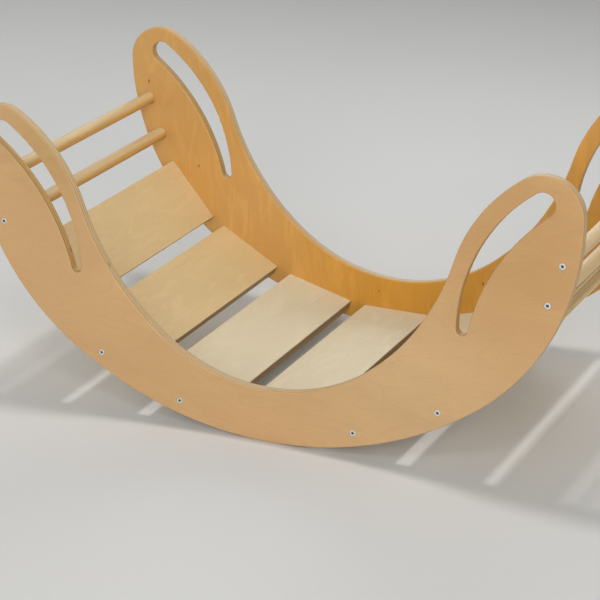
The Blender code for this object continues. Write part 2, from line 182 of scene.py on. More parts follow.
class RockerFinishes(bpy.types.PropertyGroup):
    """Colours of the wood, its glue lines and flaws, and the metal."""

    outer_veneer: colour("Outer veneer", "Birch veneer on the panels' outer faces", "C29A69")
    inner_veneer: colour("Inner veneer", "Birch veneer on the panels' inner faces", "CB984F")
    slat_veneer: colour("Slat veneer", "Birch veneer on the middle slats", "D9CBAB")
    end_slat_veneer: colour("End slat veneer", "Birch veneer on the two slats at each end", "D6BB89")
    long_ply: colour("Long plies", "Inner plies whose grain runs along the edge", "C5AC7F")
    cross_ply: colour("Cross plies", "Inner plies that show their end grain", "AC8D5F")
    glue_line: colour("Glue lines", "Dark film of glue between two plies", "7C6138")
    routed: colour("Routed edge", "What the router's heat leaves of the edge's colour in the slots", "FFEDB7")
    knot: colour("Knots", "Small dark knots in the faces' veneer", "4A2E16")
    void: colour("Gaps", "Dark gaps in the inner plies", "1E1408")
    beech: colour("Beech", "Turned beech of the rungs", "CFB383")
    # Painted light: a rung's lower inner side is multiplied by this, as shade and warm light bounced from the
    # wood
    painted_bounce_light: colour("Heartwood", "What the redder side of a rung leaves of its colour", "FFE9B4")
    zinc: colour("Zinc", "Bright zinc plating on the screws", "E9EBE7")
    # Painted shade: the socket's zinc is darkened to stand for the shade inside the socket
    socket: colour("Socket", "Zinc in the shade of the socket, with its dark passivation", "50677A")


class RockerStudio(bpy.types.PropertyGroup):
    """Floor, light and camera."""

    floor_colour: colour("Floor", "Pale painted floor", "D6D6D4")
    # Painted shade: the far floor turns to this colour, where the lamps' light falls off
    far_floor_shade: colour("Backdrop", "Floor far behind the rocker, where it turns darker", "8C8C8A")
    floor_radius: length("Floor radius", "Radius of the floor", 14.0)
    sky_colour: colour("Sky", "What the camera sees beyond the floor", "D4D5D2")
    zenith: FloatProperty(name="Zenith", description="Soft light from straight above", default=0.0)
    horizon: FloatProperty(name="Horizon", description="Soft light from the level of the floor", default=1.14)
    lamp_power: power("Lamp power", "Power of the overhead lamp", 25.8)
    lamp_size: length("Lamp size", "Diameter of the overhead lamp", 0.35)
    lamp_height: length("Lamp height", "Height of the overhead lamp", 3.0)
    lamp_setback: length("Lamp setback", "Distance of the overhead lamp behind the rocker's middle", 0.06)
    lamp_offset: FloatProperty(name="Lamp offset", default=-0.085, precision=4, unit="LENGTH",
                               description="Distance of the overhead lamp to the right of the middle")
    fill_power: power("Fill power", "Power of the large soft lamp in front", 215.0)
    fill_size: length("Fill size", "Side of the soft lamp in front", 3.6)
    key_power: power("Key power", "Power of the small lamp high up in front", 41.0)
    key_size: length("Key size", "Side of the small lamp high up in front", 0.9)
    back_power: power("Back power", "Power of the large soft lamp behind", 162.0)
    back_size: length("Back size", "Side of the soft lamp behind", 4.5)
    camera_azimuth: angle("Camera azimuth", "Turn of the camera to the right of straight on", 26.678)
    camera_elevation: angle("Camera elevation", "Height of the camera as an angle", 21.682)
    camera_roll: angle("Camera roll", "Tilt of the camera about its view", -1.229)
    camera_distance: length("Camera distance", "Distance from the camera to its target", 3.5585)
    camera_lens: FloatProperty(name="Camera lens", description="Focal length on a 36 mm sensor",
                               default=132.418, unit="CAMERA")


class RockerSettings(bpy.types.PropertyGroup):
    """All settings of the rocker."""

    panels: PointerProperty(type=RockerPanelSizes)
    slots: PointerProperty(type=RockerSlotSizes)
    bars: PointerProperty(type=RockerBarSizes)
    screws: PointerProperty(type=RockerScrewSizes)
    finishes: PointerProperty(type=RockerFinishes)
    studio: PointerProperty(type=RockerStudio)


# Numbers of the slats, from the left, whose ends are screwed as well as pocketed, and how many slats at
# each end have the warmer veneer
SCREWED_SLATS = (2, 3, 5, 6)
END_SLATS = 2

# The slots' second material starts this many roundings outside their walls
SLOT_MARGIN = 1.05

# Metres of wood between the grain of one slat or rung and that of the next, and how far below the level
# the redder side of a rung faces, where painted shade and warm light bounced from the wood lie, in degrees
SLAT_GRAIN_STEP = 1.7
RUNG_GRAIN_STEP = 1.3
BOUNCE_SIDE_DROP = 25.0

# Screws: rows of points for each turn of the thread, how steep the thread's ridge is, which rises over 1/5
# of the pitch, the shoulder between shank and thread in metres, and the blunt end against the core's radius
THREAD_ROWS = 8
RIDGE_SLOPE = 5
SHOULDER = 0.0005
BLUNT_END = 1 / 3

# The socket's floor is a cone: its depth, and how far its tip is drawn in, against the hexagon's radius
SOCKET_CONE_DEPTH = 0.25
SOCKET_CONE_INSET = 0.98

WHITE = (1.0, 1.0, 1.0)

# The film's width in millimetres, and in metres the camera's target and the soft lamps' target and places
FILM_WIDTH_MM = 36.0
CAMERA_TARGET = Vector((-0.06342, 0.0, 0.12909))
LAMP_TARGET = (0.0, 0.0, 0.2)
FILL_PLACE = (2.4, -6.3, 2.45)
KEY_PLACE = (2.1, -4.2, 5.0)
BACK_PLACE = (-1.5, 6.6, 2.6)

# Knots in the panels' inner faces and gaps in the front panel's inner plies: middle and half sizes, along
# the grain, across it and in depth, in millimetres. The grain runs along X in the front panel and along Z
# in the rear one
FRONT_KNOTS = (((-239.3, 209.1, -7.5), (1.1, 1.1, 2.0)),)
REAR_KNOTS = (((386.4, -468.4, -7.5), (3.9, 2.6, 2.0)), ((243.2, -375.7, -7.5), (3.0, 2.0, 2.0)),
              ((104.7, 157.3, -7.5), (3.75, 2.5, 2.0)), ((62.5, -32.9, -7.5), (2.55, 1.7, 2.0)))
FRONT_VOIDS = (((-265.5, 247.3, 0.5), (3.78, 5.88, 1.2)), ((-337.3, 263.8, -6.0), (2.88, 4.48, 1.2)),
               ((-335.9, 259.0, -3.5), (2.52, 3.92, 1.2)))

# Large soft changes of tone on the front panel's outer face and the rear one's inner face, as place along
# the grain, across it and in depth, and reach, in millimetres, and what the veneer's colour is multiplied by.
# On the rear panel they are painted light and shade: warm light bounced between the wood, strongest low in
# the middle and on the right lobe, and less of it on the left
FRONT_TONE_PATCHES = ((230, 120, 7.5, 190, (0.99, 1.05, 1.12)), (415, 390, 7.5, 190, (0.90, 0.85, 0.74)),
                (-345, 430, 7.5, 115, (0.86, 0.87, 0.76)))
REAR_PAINTED_LIGHT = ((430, -420, -7.5, 190, (0.90, 0.93, 1.02)), (185, -280, -7.5, 130, (1.03, 1.07, 1.22)),
               (60, 40, -7.5, 250, (1.08, 0.99, 0.43)), (290, 360, -7.5, 150, (0.92, 0.86, 0.55)))


def ray(degrees):
    """Unit vectors at angles from +X, in the panels' plane."""
    turn = np.radians(degrees)
    return np.stack((np.cos(turn), np.sin(turn)), axis=-1)


def outward(heading):
    """Unit vectors on the right of an edge that runs at a heading, in degrees."""
    return ray(np.asarray(heading) - 90.0)


def spread(radius, start, end, spacing):
    """Angles from start to end, a spacing apart along an arc of a radius, and three steps at least."""
    steps = max(3, math.ceil(radius * math.radians(abs(end - start)) / spacing))
    return np.linspace(start, end, steps + 1)


def arc(centre, radius, start, end, spacing, bulge=1):
    """Path along an arc: centre + bulge * radius * n, where n is the normal on the right of each heading,
    and bulge is 1 where the arc's middle lies on the wood's side and -1 where it lies outside."""
    normals = outward(spread(radius, start, end, spacing))
    return centre + bulge * radius * normals, normals


def bored(centre, radius, start, end, spacing, sense=-1):
    """Path along an arc of a hole's edge between two bearings: centre + radius * r, with normals
    sense * r that point into the hole."""
    rays = ray(spread(radius, start, end, spacing))
    return centre + radius * rays, sense * rays


def joined(*stretches):
    """One path from stretches that each start where the last one ended."""
    points = [stretches[0][0]] + [stretch[0][1:] for stretch in stretches[1:]]
    normals = [stretches[0][1]] + [stretch[1][1:] for stretch in stretches[1:]]
    return np.concatenate(points), np.concatenate(normals)


def mirrored(path):
    """The same path on the left: X changes sign and the order is turned round."""
    flip = np.array((-1.0, 1.0))
    return path[0][::-1] * flip, path[1][::-1] * flip


def bearing(centre, point):
    """Angle of a point seen from a centre, in degrees from 0 to 360."""
    step = point - centre
    return math.degrees(math.atan2(step[1], step[0])) % 360


class Outline:
    """Right half of the panels' outline: rocking, side, tip, handle, flank and cradle arcs, each tangent
    to the next. The side arc's and the flank's radii follow from the others."""

    def __init__(self, sizes):
        self.sizes = sizes
        self.rocking_angle = math.degrees(sizes.rocking_angle)
        self.handle_start = math.degrees(sizes.handle_start)
        tip = sizes.tip_radius
        self.rocking_centre = np.array((0.0, sizes.rocking_radius))
        self.tip_centre = np.array((OVERALL_LENGTH / 2 - tip, OVERALL_HEIGHT - tip))
        normal = outward(self.rocking_angle)
        rocking_end = self.rocking_centre + sizes.rocking_radius * normal
        offset = rocking_end - self.tip_centre
        self.side_radius = (tip ** 2 - offset @ offset) / (2 * (tip - offset @ normal))
        self.side_centre = rocking_end - self.side_radius * normal
        self.side_end = (bearing(self.side_centre, self.tip_centre) + 90) % 360
        reach = sizes.handle_radius - tip
        self.handle_centre = self.tip_centre - reach * outward(self.handle_start)
        self.cradle_centre = np.array((0.0, sizes.cradle_height + sizes.cradle_radius))
        self.cradle_end = 180 + math.degrees(sizes.cradle_angle)
        normal = outward(self.cradle_end)
        cradle_end = self.cradle_centre - sizes.cradle_radius * normal
        offset = cradle_end - self.handle_centre
        span = offset @ offset - sizes.handle_radius ** 2
        self.flank_radius = span / (2 * (sizes.handle_radius - offset @ normal))
        self.flank_centre = cradle_end + self.flank_radius * normal
        self.handle_end = (bearing(self.flank_centre, self.handle_centre) + 270) % 360
        if self.side_radius < tip or self.flank_radius < 0:
            raise RuntimeError("the outline's arcs don't meet with these sizes")

    def loop(self):
        """The whole outline, from the middle of the base round the right tip and back by the left."""
        sizes = self.sizes
        spacing = sizes.path_spacing
        half = joined(
            arc(self.rocking_centre, sizes.rocking_radius, 0, self.rocking_angle, spacing),
            arc(self.side_centre, self.side_radius, self.rocking_angle, self.side_end, spacing),
            arc(self.tip_centre, sizes.tip_radius, self.side_end, self.handle_start, spacing),
            arc(self.handle_centre, sizes.handle_radius, self.handle_start, self.handle_end, spacing),
            arc(self.flank_centre, self.flank_radius, self.handle_end, self.cradle_end, spacing, -1),
            arc(self.cradle_centre, sizes.cradle_radius, self.cradle_end, 180, spacing, -1))
        whole = joined(half, mirrored(half))
        return whole[0][:-1], whole[1][:-1]

    def seat(self, distance, inset):
        """Point set in square from the outer edge, at a distance along it, and the heading there."""
        radius = self.sizes.rocking_radius
        rocking = radius * math.radians(self.rocking_angle)
        side = self.side_radius * math.radians(self.side_end - self.rocking_angle)
        if distance <= rocking:
            heading = math.degrees(distance / radius)
            return self.rocking_centre + (radius - inset) * outward(heading), heading
        if distance <= rocking + side:
            heading = self.rocking_angle + math.degrees((distance - rocking) / self.side_radius)
            return self.side_centre + (self.side_radius - inset) * outward(heading), heading
        tip = self.sizes.tip_radius
        heading = self.side_end + math.degrees((distance - rocking - side) / tip)
        return self.tip_centre + (tip - inset) * outward(heading), heading


def crossing(first, first_radius, second, second_radius):
    """Crossing of two circles on the right of the line from the first centre to the second."""
    line = second - first
    span = np.linalg.norm(line)
    along = (first_radius ** 2 - second_radius ** 2 + span ** 2) / (2 * span)
    across = math.sqrt(max(first_radius ** 2 - along ** 2, 0.0))
    unit = line / span
    return first + along * unit + across * np.array((unit[1], -unit[0]))


def hand_slot(outline, sizes):
    """The right hand slot: two long arcs that touch a wide round end and a narrow one."""
    spacing = outline.sizes.path_spacing
    tip_inset = sizes.tip_wall + sizes.tip_radius
    tip_heading = math.degrees(sizes.tip_angle)
    tip = outline.tip_centre + (outline.sizes.tip_radius - tip_inset) * outward(tip_heading)
    tail_heading = outline.handle_end - math.degrees(sizes.tail_distance / outline.flank_radius)
    tail_reach = outline.flank_radius + sizes.tail_wall + sizes.tail_radius
    tail = outline.flank_centre - tail_reach * outward(tail_heading)
    upper = crossing(tail, sizes.upper_radius - sizes.tail_radius, tip, sizes.upper_radius - sizes.tip_radius)
    lower = crossing(tail, sizes.lower_radius + sizes.tail_radius, tip, sizes.lower_radius + sizes.tip_radius)
    upper_tip = bearing(upper, tip)
    upper_tail = bearing(upper, tail)
    lower_tail = bearing(lower, tail)
    lower_tip = bearing(lower, tip)
    loop = joined(
        bored(upper, sizes.upper_radius, upper_tip, upper_tail, spacing),
        bored(tail, sizes.tail_radius, upper_tail, lower_tail + 180, spacing / 2),
        bored(lower, sizes.lower_radius, lower_tail, lower_tip, spacing, 1),
        bored(tip, sizes.tip_radius, lower_tip - 180, upper_tip, spacing / 2))
    return loop[0][:-1], loop[1][:-1]


def circle(centre, radius, sides):
    """Closed circular path about a centre, with outward normals."""
    rays = ray(np.arange(sides) * 360 / sides)
    return centre + radius * rays, rays


def enclosed(points, starts, ends):
    """Which points lie inside closed paths, given as their edges' starts and ends: a line to the point's
    right crosses them an odd number of times."""
    first, last, spots = starts[None], ends[None], points[:, None, :]
    crossed = (first[..., 1] > spots[..., 1]) != (last[..., 1] > spots[..., 1])
    rise = np.where(crossed, last[..., 1] - first[..., 1], 1.0)
    reach = first[..., 0] + (spots[..., 1] - first[..., 1]) * (last[..., 0] - first[..., 0]) / rise
    return (crossed & (spots[..., 0] < reach)).sum(axis=1) % 2 == 1


def places(items, key):
    """Places of a mesh's faces or points, one in each row."""
    flat = np.empty(len(items) * 3)
    items.foreach_get(key, flat)
    return flat.reshape(-1, 3)


def bar_section(centre, heading, width, thickness, rounding):
    """Closed rounded rectangle, turned to a heading about its centre: four quarter arcs."""
    corners = []
    for side, top, start in ((1, 1, 0), (-1, 1, 90), (-1, -1, 180), (1, -1, 270)):
        middle = np.array((side * (width / 2 - rounding), top * (thickness / 2 - rounding)))
        rays = ray(np.linspace(start, start + 90, SLAT_EDGE_STEPS + 1))
        corners.append((middle + rounding * rays, rays))
    points = np.concatenate([corner[0] for corner in corners])
    normals = np.concatenate([corner[1] for corner in corners])
    turn = np.array((ray(heading), ray(heading + 90)))
    return centre + points @ turn, normals @ turn


def slat_seats(outline, sizes, rise):
    """Slat number to its point at a rise above its lower face, and its heading."""
    seats = {}
    inset = sizes.slat_edge_wall + rise
    for number in range(1, sizes.slat_count + 1):
        steps = number - (sizes.slat_count + 1) / 2
        point, heading = outline.seat(abs(steps) * (sizes.slat_width + sizes.slat_gap), inset)
        sign = -1 if steps < 0 else 1
        seats[number] = (point * np.array((sign, 1)), sign * heading)
    return seats


def rung_seats(outline, sizes):
    """Rung name to its axis in the panels' plane."""
    last_slat = (sizes.slat_count - 1) / 2 * (sizes.slat_width + sizes.slat_gap)
    radius = sizes.rung_diameter / 2
    lower = last_slat + sizes.slat_width / 2 + sizes.lower_rung_gap + radius
    upper = lower + sizes.rung_diameter + sizes.upper_rung_gap
    seats = {}
    for side, sign in (("left", -1), ("right", 1)):
        for place, distance, wall in (("upper", upper, sizes.upper_rung_wall),
                                      ("lower", lower, sizes.lower_rung_wall)):
            point = outline.seat(distance, wall + radius)[0]
            seats[f"{side}_{place}"] = point * np.array((sign, 1))
    return seats


def screw_seats(outline, sizes):
    """Screw axes in the panels' plane, from the left, each with its slat's number or its rung's name."""
    slats = slat_seats(outline, sizes, sizes.slat_screw_rise)
    seats = [(slats[number][0], number) for number in SCREWED_SLATS if number in slats]
    seats += [(point, name) for name, point in rung_seats(outline, sizes).items()]
    return sorted(seats, key=lambda seat: (round(float(seat[0][0]), 4), float(seat[0][1])))


def quarter(radius, steps, top):
    """Round-over profile as (inset, distance from the face), from the face down to the edge, or back."""
    turn = np.radians(np.linspace(90, 0, steps + 1))
    profile = np.column_stack((radius * (1 - np.cos(turn)), radius * (1 - np.sin(turn))))
    return profile if top else profile[::-1]


def placed(flat, depths):
    """Rows of points of the panels' plane, each point of a row at its own depth along Y."""
    along = np.broadcast_to(depths[None, :, None], flat[..., :1].shape)
    return np.concatenate((flat[..., :1], along, flat[..., 1:]), axis=-1)


def carried(path, profile):
    """Surface of two parameters: a path's point - inset * its normal, at y, for each profile pair
    (inset, y)."""
    points, normals = path
    return placed(points[:, None, :] - profile[None, :, :1] * normals[:, None, :], profile[:, 1])


class Skin:
    """Surfaces that are put together into one closed mesh."""

    def __init__(self):
        self.verts = []
        self.faces = []
        self.count = 0

    def grid(self, surface):
        """Quads over a grid of points whose last row meets the first."""
        rows, columns = surface.shape[:2]
        index = self.count + np.arange(rows * columns).reshape(rows, columns)
        after = np.roll(index, -1, axis=0)
        quads = np.stack((index[:, :-1], after[:, :-1], after[:, 1:], index[:, 1:]), axis=-1)
        self.verts.append(surface.reshape(-1, 3))
        self.faces.extend(quads.reshape(-1, 4).tolist())
        self.count += rows * columns

    def patch(self, *rims):
        """Flat face inside the first rim and outside the others: Delaunay triangles between the rims, kept
        where the rims enclose the triangle's middle."""
        points = np.concatenate(rims)
        flat = points[:, ::2]
        after = np.concatenate([np.roll(np.arange(len(rim)), -1) + start for rim, start in
                                zip(rims, np.cumsum([0] + [len(rim) for rim in rims]))])
        edges = np.column_stack((np.arange(len(points)), after)).tolist()
        # 1 asks for triangles inside the outermost edges, and points closer than 1e-9 m count as one
        _, _, faces, sources, _, _ = delaunay_2d_cdt([Vector(point) for point in flat], edges, [], 1, 1e-9)
        triangles = np.array([[sources[corner][0] for corner in face] for face in faces])
        kept = triangles[enclosed(flat[triangles].mean(axis=1), flat, flat[after])]
        self.faces.extend((kept + self.count).tolist())
        self.verts.append(points)
        self.count += len(points)

    def object(self, name):
        """The mesh as an object: welded, facing outward, smooth but for its sharp edges."""
        mesh = bpy.data.meshes.new(name)
        mesh.from_pydata(np.concatenate(self.verts), [], self.faces)
        shape = bmesh.new()
        shape.from_mesh(mesh)
        bmesh.ops.remove_doubles(shape, verts=shape.verts, dist=WELD)
        bmesh.ops.dissolve_degenerate(shape, edges=shape.edges, dist=WELD)
        bmesh.ops.recalc_face_normals(shape, faces=shape.faces)
        open_edges = sum(1 for edge in shape.edges if len(edge.link_faces) != 2)
        shape.to_mesh(mesh)
        shape.free()
        if open_edges:
            raise RuntimeError(f"{name} has {open_edges} open edges")
        mesh.shade_smooth()
        mesh.set_sharp_from_angle(angle=math.radians(SHARP_ANGLE))
        made = bpy.data.objects.new(name, mesh)
        bpy.context.scene.collection.objects.link(made)
        weighted = made.modifiers.new("Weighted normals", "WEIGHTED_NORMAL")
        weighted.keep_sharp = True
        return made


def write_board(piece, origin, along, across, depth, shift=0.0):
    """Attribute 'board': each point's place along the grain, across it and through the board, in metres.
    shift slides the pattern, so that no two pieces have the same grain."""
    axes = np.array((along, across, depth), dtype=float)
    board = (places(piece.data.vertices, "co") - np.asarray(origin, dtype=float)) @ axes.T
    board[:, 0] += shift
    attribute = piece.data.attributes.new("board", "FLOAT_VECTOR", "POINT")
    attribute.data.foreach_set("vector", board.ravel())


def write_bar_board(piece, point, across, depth, shift):
    """Attribute 'board' of a slat or rung: its grain runs along Y, and its middle and its other two
    directions are given in the panels' plane."""
    origin, across, depth = ((pair[0], 0, pair[1]) for pair in (point, across, depth))
    write_board(piece, origin, (0, 1, 0), across, depth, shift)


def finish_piece(piece, node, materials):
    """Gives a piece its materials, and puts it in its node's place on the rocker."""
    for material in materials:
        piece.data.materials.append(material)
    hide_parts(node)
    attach(piece, "root")


# Materials

def add(tree, kind, inputs=None, **settings):
    """Adds a shader node. settings are its properties, and inputs are its sockets' values or what feeds
    them: a socket, or a node, which stands for its first output in use."""
    made = tree.nodes.new("ShaderNode" + kind)
    for key, value in settings.items():
        setattr(made, key, value)
    for key, value in (inputs or {}).items():
        socket = made.inputs[key]
        if isinstance(value, bpy.types.Node):
            value = next(output for output in value.outputs if output.enabled)
        if isinstance(value, bpy.types.NodeSocket):
            tree.links.new(value, socket)
        elif socket.type == "RGBA":
            socket.default_value = (*value, 1.0)
        else:
            socket.default_value = value
    return made


def empty_material(name):
    """Material whose node tree is empty, and that tree."""
    material = bpy.data.materials.new(name)
    material.use_nodes = True
    material.node_tree.nodes.clear()
    return material, material.node_tree


# Satin lacquer over sanded wood: its refraction, and its own faint gloss
LACQUER = {"IOR": 1.5, "Coat Weight": 0.05, "Coat Roughness": 0.35}


def finish_material(tree, tone, roughness, sockets, height=None):
    """Principled BSDF and output: tone is its colour, sockets its other sockets' values, and height what a
    faint bump, 0.3 mm high at most, follows."""
    inputs = {"Base Color": tone, "Roughness": roughness, **sockets}
    if height is not None:
        inputs["Normal"] = add(tree, "Bump", {"Height": height, "Strength": 0.12, "Distance": 0.3 / MM})
    add(tree, "OutputMaterial", {"Surface": add(tree, "BsdfPrincipled", inputs)})


def shaded(tint, factor, warmth=1.0):
    """A colour made darker or lighter: factor multiplies its red, and factor to the power of warmth its
    blue, which changes a little more in wood. Green lies between."""
    return (tint[0] * factor, tint[1] * factor ** (0.5 + warmth / 2), tint[2] * factor ** warmth)


def millimetres(tree, place):
    """A place in metres as one in millimetres, and its three numbers."""
    scaled = add(tree, "VectorMath", {0: place, "Scale": MM}, operation="SCALE")
    return scaled.outputs["Vector"], add(tree, "SeparateXYZ", {"Vector": scaled}).outputs


def layer(tree, place, tone, stain, size, low, high, strength=1.0, detail=2.0, distortion=0.0):
    """Lays a stain over a tone where noise is high: none below low, all its strength above high. size is
    the noise's features in millimetres. Returns the new tone, and how much of the stain there is."""
    divided = add(tree, "VectorMath", {0: place, 1: size}, operation="DIVIDE")
    noise = add(tree, "TexNoise", {"Vector": divided, "Scale": 1.0, "Detail": detail,
                                   "Distortion": distortion})
    much = add(tree, "MapRange", {"Value": noise, "From Min": low, "From Max": high, "To Max": strength},
               interpolation_type="SMOOTHSTEP")
    return add(tree, "Mix", {0: much, 6: tone, 7: stain}, data_type="RGBA"), much


# How strongly the growth rings show on the panels and on the slats
PANEL_RINGS = 0.18
SLAT_RINGS = 0.1

# Figure of birch veneer, as layers over its colour: the features' size in millimetres along the grain,
# across it and through the board, the noise from which a layer shows and at which it is full, its strength,
# its shade against the veneer's colour, and how much it is distorted. Real fibres are under 0.1 mm wide, so
# the finest grain is drawn 0.9 mm and 1.3 mm wide to show
QUIET_FIGURE = (
    ((260, 110, 300), 0.36, 0.64, 1.0, 0.955, 0.3),
    ((150, 60, 300), 0.50, 0.74, 0.8, 1.045, 0.5),
    ((38, 9, 300), 0.56, 0.78, 0.5, 0.93, 0.8),
    ((26, 1.3, 300), 0.52, 0.76, 0.5, 0.86, 0.0),
    ((11, 0.9, 300), 0.69, 0.79, 0.6, 0.72, 0.0))
FLAME_FIGURE = (
    ((280, 120, 300), 0.36, 0.64, 1.0, 0.94, 0.3),
    ((110, 26, 300), 0.48, 0.66, 0.7, 1.09, 1.2),
    ((75, 11, 300), 0.52, 0.72, 0.5, 0.94, 1.2),
    ((40, 1.3, 300), 0.50, 0.78, 0.4, 0.90, 0.0),
    ((12, 0.9, 300), 0.69, 0.79, 0.5, 0.75, 0.0))
SLAT_FIGURE = (
    ((300, 70, 300), 0.36, 0.64, 1.0, 0.96, 0.3),
    ((120, 10, 300), 0.52, 0.72, 0.7, 0.94, 0.8),
    ((70, 22, 300), 0.52, 0.68, 0.7, 1.04, 1.2),
    ((60, 1.3, 300), 0.50, 0.76, 0.5, 0.90, 0.0),
    ((9, 0.9, 300), 0.69, 0.79, 0.5, 0.76, 0.0))


def veneer(tree, place, tint, figure, rings):
    """Rotary-cut birch veneer: its colour under the layers of its figure, and faint contour lines of its
    growth rings. Returns its colour and the strength of its finest grain."""
    tone = tint
    for size, low, high, strength, shade, distortion in figure:
        tone, grain = layer(tree, place, tone, shaded(tint, shade, warmth=1.4), size, low, high, strength,
                            distortion=distortion)
    # Growth rings: the contours of a slow swell 230 mm long and 55 mm wide, 11 over its range, because a
    # sine of 70 times the swell turns 70 / (2 pi) times
    divided = add(tree, "VectorMath", {0: place, 1: (230, 55, 300)}, operation="DIVIDE")
    swell = add(tree, "TexNoise", {"Vector": divided, "Scale": 1.0, "Detail": 1.5, "Distortion": 0.8})
    waves = add(tree, "Math", {0: swell, 1: 70.0}, operation="MULTIPLY")
    crests = add(tree, "Math", {0: waves}, operation="SINE")
    late_wood = add(tree, "MapRange", {"Value": crests, "From Min": 0.55, "From Max": 1.0, "To Max": rings},
                    interpolation_type="SMOOTHSTEP")
    tone = add(tree, "Mix", {0: late_wood, 6: tone, 7: shaded(tint, 0.84, warmth=1.6)}, data_type="RGBA")
    return tone, grain


def spot(tree, place, middle, half, near, far, peak, wander=None):
    """How strong a soft spot is at a place: with the distance from its middle taken in its three half
    sizes, peak nearer than near, and nothing beyond far. wander is added to the distance."""
    apart = add(tree, "VectorMath", {0: place, 1: middle}, operation="SUBTRACT")
    apart = add(tree, "VectorMath", {0: apart, 1: half}, operation="DIVIDE")
    reach = add(tree, "VectorMath", {0: apart}, operation="LENGTH")
    if wander:
        reach = add(tree, "Math", {0: reach, 1: wander}, operation="ADD")
    inputs = {"Value": reach, "From Min": near, "From Max": far, "To Min": peak, "To Max": 0.0}
    return add(tree, "MapRange", inputs, interpolation_type="SMOOTHSTEP")


def darkened(tree, place, tone, shade, spots, size, ragged):
    """Dark spots, such as knots: inside each ellipsoid of a middle and three half sizes, all in
    millimetres, with an edge that noise of a size makes ragged."""
    divided = add(tree, "VectorMath", {0: place, 1: (size, size, size)}, operation="DIVIDE")
    noise = add(tree, "TexNoise", {"Vector": divided, "Scale": 1.0, "Detail": 2.0})
    wander = add(tree, "Math", {0: noise, 1: ragged}, operation="MULTIPLY")
    for middle, half in spots:
        dark = spot(tree, place, middle, half, near=0.7, far=1.5, peak=0.85, wander=wander)
        tone = add(tree, "Mix", {0: dark, 6: tone, 7: shade}, data_type="RGBA")
    return tone


def washed(tree, place, tone, middle, reach, wash):
    """Soft change of the wood's tone on one face, painted light and shade on the rear panel: round a middle
    in millimetres the tone is multiplied by a wash, all of it within 0.2 of the reach and none beyond 1.2 of
    it, or 12 mm deep in the board."""
    much = spot(tree, place, middle, (reach, reach, 10), near=0.2, far=1.2, peak=1.0)
    return add(tree, "Mix", {0: much, 6: tone, 7: wash}, data_type="RGBA", blend_type="MULTIPLY")


# Plies of a board from its outer or upper face: how deep each one's lower side lies, in millimetres, and
# its kind. A glue line is a dark film about 0.1 mm thick, drawn 0.3 mm to 1 mm thick to show
PANEL_PLIES = ((1.3, "long_ply"), (1.6, "glue_line"), (4.1, "cross_ply"), (6.6, "long_ply"),
               (6.9, "glue_line"), (9.4, "cross_ply"), (11.0, "long_ply"), (13.4, "cross_ply"),
               (13.7, "glue_line"), (15.0, "long_ply"))
SLAT_PLIES = ((1.3, "long_ply"), (1.9, "glue_line"), (3.7, "long_ply"), (4.7, "glue_line"),
              (9.0, "cross_ply"), (9.3, "glue_line"), (13.4, "cross_ply"), (15.2, "long_ply"),
              (15.8, "glue_line"), (18.0, "long_ply"))


def plywood(name, finishes, veneers, thickness, plies, figure, rings, knots=(), voids=(), tone_patches=(),
            wash=WHITE):
    """Birch plywood, sanded and lacquered: even satin faces, over plies that show on every cut edge.

    veneers are the colours of the faces at positive and at negative depth in the board, and wash is what
    the edge's colour is multiplied by.
    """
    material, tree = empty_material(name)
    board = add(tree, "Attribute", attribute_name="board").outputs["Vector"]
    place, parts = millimetres(tree, board)
    upper, grain = veneer(tree, place, veneers[0], figure, rings)
    lower = upper if veneers[0] == veneers[1] else veneer(tree, place, veneers[1], figure, rings)[0]
    side = add(tree, "Math", {0: parts["Z"], 1: 0.0}, operation="GREATER_THAN")
    face = add(tree, "Mix", {0: side, 6: lower, 7: upper}, data_type="RGBA")
    # Soft changes of tone; on the rear panel's inner face they are painted light and shade
    for along, across, depth, reach, stain in tone_patches:
        face = washed(tree, place, face, (along, across, depth), reach, stain)
    face = darkened(tree, place, face, tuple(finishes.knot), knots, size=3.0, ragged=0.9)

    # The cut edge: each ply's colour by its depth, then streaks 14 mm long and 0.7 mm wide
    half = thickness * MM / 2
    depth = add(tree, "MapRange", {"Value": parts["Z"], "From Min": half, "From Max": -half})
    edge = add(tree, "ValToRGB", {"Fac": depth})
    edge.color_ramp.interpolation = "CONSTANT"
    start = 0.0
    for number, (end, kind) in enumerate(plies):
        stop = edge.color_ramp.elements[0] if number == 0 else edge.color_ramp.elements.new(start)
        stop.color = (*getattr(finishes, kind), 1.0)
        start = end / plies[-1][0]
    edge.color_ramp.elements.remove(edge.color_ramp.elements[-1])
    edge, _ = layer(tree, place, edge.outputs["Color"], shaded(finishes.cross_ply, 0.72), (14, 14, 0.7),
                    low=0.45, high=0.8, strength=0.5)
    if wash != WHITE:
        edge = add(tree, "Mix", {0: 1.0, 6: edge, 7: wash}, data_type="RGBA", blend_type="MULTIPLY")
    edge = darkened(tree, place, edge, tuple(finishes.void), voids, size=2.0, ragged=0.5)
    # Below the face's veneer, which is the first ply, the others show
    apart = add(tree, "Math", {0: parts["Z"]}, operation="ABSOLUTE")
    inside = add(tree, "Math", {0: apart, 1: half - plies[0][0]}, operation="LESS_THAN")
    tone = add(tree, "Mix", {0: inside, 6: face, 7: edge}, data_type="RGBA")

    # Half rough, and a little smoother where the fine grain is dense
    rough = add(tree, "MapRange", {"Value": grain, "To Min": 0.56, "To Max": 0.44})
    finish_material(tree, tone, rough, LACQUER, grain)
    return material


